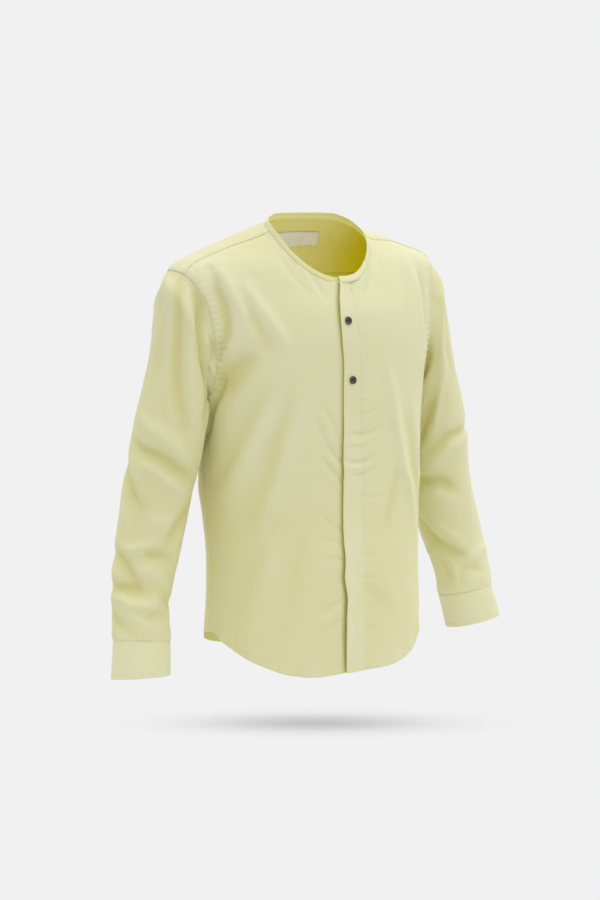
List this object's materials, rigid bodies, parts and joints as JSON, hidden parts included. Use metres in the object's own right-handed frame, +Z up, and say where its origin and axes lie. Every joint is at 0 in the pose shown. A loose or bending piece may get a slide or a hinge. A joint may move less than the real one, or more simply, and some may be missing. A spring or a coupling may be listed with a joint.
{
  "type": "long-sleeved band-collar shirt, worn shape",
  "caption": "Long-sleeved woven shirt with a narrow neck band, button-front placket, shoulder yoke and shirt-tail hem, filled out and hollow.",
  "frame": {"origin": "base of the neck, level with the top of the shoulders, where the wearer's shoulders carry the shirt", "axes": "+Z up, -Y toward the shirt's front, +X toward the wearer's left"},
  "size_m": [0.7546, 0.2397, 0.7263],
  "materials": {
    "shirt_cloth": "pale yellow plain-weave cotton, soft and matte",
    "button_dark": "near-black, low gloss",
    "label_cloth": "light grey smooth woven tape, blank"
  },
  "bodies": {
    "root": {"front_right": "shirt_cloth", "front_left": "shirt_cloth", "back": "shirt_cloth", "yoke": "shirt_cloth", "placket": "shirt_cloth", "neck_band": "shirt_cloth", "sleeve_right": "shirt_cloth", "sleeve_left": "shirt_cloth", "cuff_right": "shirt_cloth", "cuff_left": "shirt_cloth", "button_1": "button_dark", "button_2": "button_dark", "cuff_button_right": "button_dark", "cuff_button_left": "button_dark", "neck_label": "label_cloth"}
  },
  "joints": []
}
